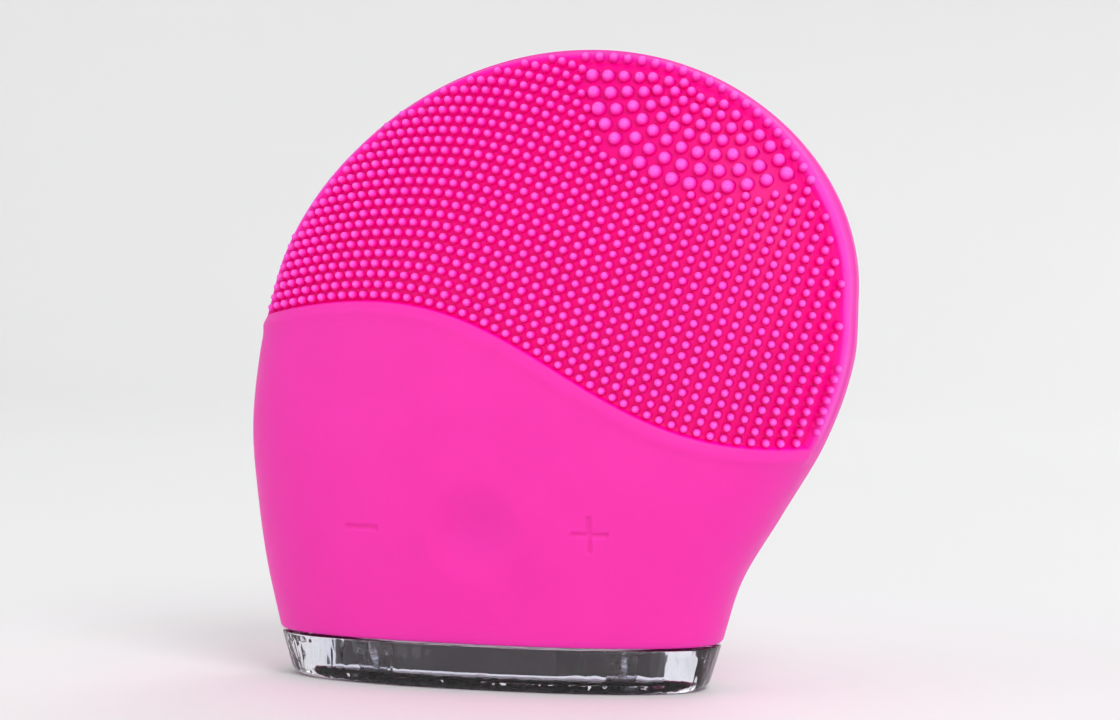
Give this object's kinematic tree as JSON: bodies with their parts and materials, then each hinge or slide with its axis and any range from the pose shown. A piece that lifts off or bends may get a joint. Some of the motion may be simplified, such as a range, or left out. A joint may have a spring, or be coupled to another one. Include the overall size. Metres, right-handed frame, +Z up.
{
  "type": "facial cleansing brush",
  "caption": "Silicone-skinned facial cleansing brush with a leaning round head, pressed keys, a vibration motor and a clear screwed-on base it stands on.",
  "frame": {"origin": "middle of the clear base's flat underside, halfway between the two base screws", "axes": "+X across the brush towards the side its head leans to, -Y out of the face with the fine touch-points, +Z up from the base to the crown"},
  "size_m": [0.0793, 0.034, 0.081],
  "materials": {
    "pink_silicone": "soft satin moulded silicone",
    "clear_plastic": "clear glossy moulded plastic",
    "black_plastic": "satin moulded plastic",
    "white_plastic": "fine-grained moulded plastic",
    "steel": "bright plated steel",
    "brass": "turned brass and copper winding",
    "green_board": "lacquered circuit board",
    "silver_foil": "laminated foil pouch",
    "black_rubber": "matt rubber",
    "grey_foam": "closed-cell foam tape",
    "red_wire": "smooth lead insulation"
  },
  "bodies": {
    "handpiece": {"silicone_sleeve": "pink_silicone", "front_housing": "white_plastic", "rear_housing": "white_plastic", "housing_screw_1": "steel", "housing_screw_2": "steel", "housing_screw_3": "steel", "housing_screw_4": "steel", "foot_frame": "black_plastic", "clear_base": "clear_plastic", "base_screw_left": "steel", "base_screw_right": "steel", "power_switch": "black_plastic", "plus_switch": "black_plastic", "minus_switch": "black_plastic", "circuit_board": "green_board", "board_screw_1": "steel", "board_screw_2": "steel", "base_light_left": "clear_plastic", "base_light_right": "clear_plastic", "battery": "silver_foil", "battery_foam": "grey_foam", "battery_lead_red": "red_wire", "battery_lead_black": "black_rubber", "charging_jack": "black_plastic", "jack_pin": "brass", "jack_lead_red": "red_wire", "jack_lead_black": "black_rubber", "motor_can": "steel", "motor_magnet": "black_rubber", "motor_end_cap": "white_plastic", "motor_boot": "black_rubber", "motor_lead_red": "red_wire", "motor_lead_black": "black_rubber"},
    "power_button": {"power_key": "black_plastic", "power_plunger": "steel"},
    "plus_button": {"plus_key": "black_plastic", "plus_plunger": "steel"},
    "minus_button": {"minus_key": "black_plastic", "minus_plunger": "steel"},
    "rotor": {"motor_shaft": "steel", "motor_armature": "brass", "eccentric_weight": "brass"}
  },
  "joints": [
    {"name": "power_press", "type": "slide", "parent": "handpiece", "child": "power_button", "axis": [0, 1, 0], "range_m": [0, 0.00045], "stiffness_N_per_m": 2500},
    {"name": "plus_press", "type": "slide", "parent": "handpiece", "child": "plus_button", "axis": [0, 1, 0], "range_m": [0, 0.00045], "stiffness_N_per_m": 2500},
    {"name": "minus_press", "type": "slide", "parent": "handpiece", "child": "minus_button", "axis": [0, 1, 0], "range_m": [0, 0.00045], "stiffness_N_per_m": 2500},
    {"name": "rotor_spin", "type": "hinge", "parent": "handpiece", "child": "rotor", "pos_m": [0, -0.0004, 0.06], "axis": [1, 0, 0], "continuous": true}
  ]
}
